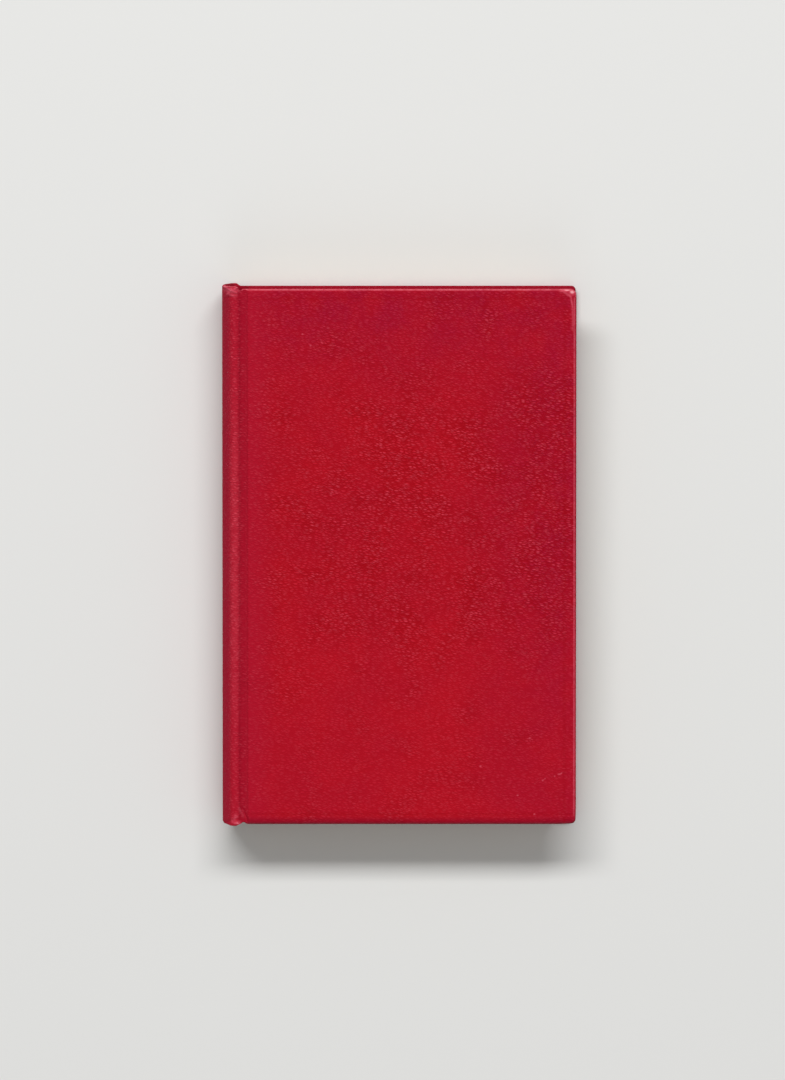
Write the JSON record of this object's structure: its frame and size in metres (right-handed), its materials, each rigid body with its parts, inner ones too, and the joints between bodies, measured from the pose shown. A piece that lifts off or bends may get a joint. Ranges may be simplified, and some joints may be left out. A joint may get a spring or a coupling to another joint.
{
  "type": "hardback book",
  "caption": "Pocket hardback book with a rounded spine, grooved joints and plain red grained covers that open on both sides.",
  "frame": {"origin": "middle of the footprint, on the surface that the closed book's back cover rests on", "axes": "+X from the spine to the fore-edge, +Y from the tail to the head, +Z from the back cover to the front cover"},
  "size_m": [0.097, 0.1484, 0.018],
  "materials": {
    "pages": "cream paper, cut edges",
    "endpaper": "smooth off-white paper",
    "mull": "open-weave cotton, glued",
    "lining_paper": "brown kraft paper",
    "headband": "cream woven band",
    "spine_card": "grey card",
    "board": "dense grey board",
    "cover_cloth": "crimson coated book cloth with an embossed leather grain"
  },
  "bodies": {
    "book_block": {"text_block": "pages", "front_flyleaf": "endpaper", "back_flyleaf": "endpaper", "spine_mull": "mull", "spine_lining": "lining_paper", "headband": "headband", "tailband": "headband", "spine_card": "spine_card", "spine_cloth": "cover_cloth"},
    "front_cover": {"front_board": "board", "front_cloth": "cover_cloth", "front_mull_flap": "mull", "front_pastedown": "endpaper"},
    "back_cover": {"back_board": "board", "back_cloth": "cover_cloth", "back_mull_flap": "mull", "back_pastedown": "endpaper"}
  },
  "joints": [
    {"name": "front_hinge", "type": "hinge", "parent": "book_block", "child": "front_cover", "pos_m": [-0.04369, 0, 0.01803], "axis": [0, -1, 0], "range_deg": [0, 178]},
    {"name": "back_hinge", "type": "hinge", "parent": "book_block", "child": "back_cover", "pos_m": [-0.04369, 0, -0.00007], "axis": [0, 1, 0], "range_deg": [0, 178]}
  ]
}
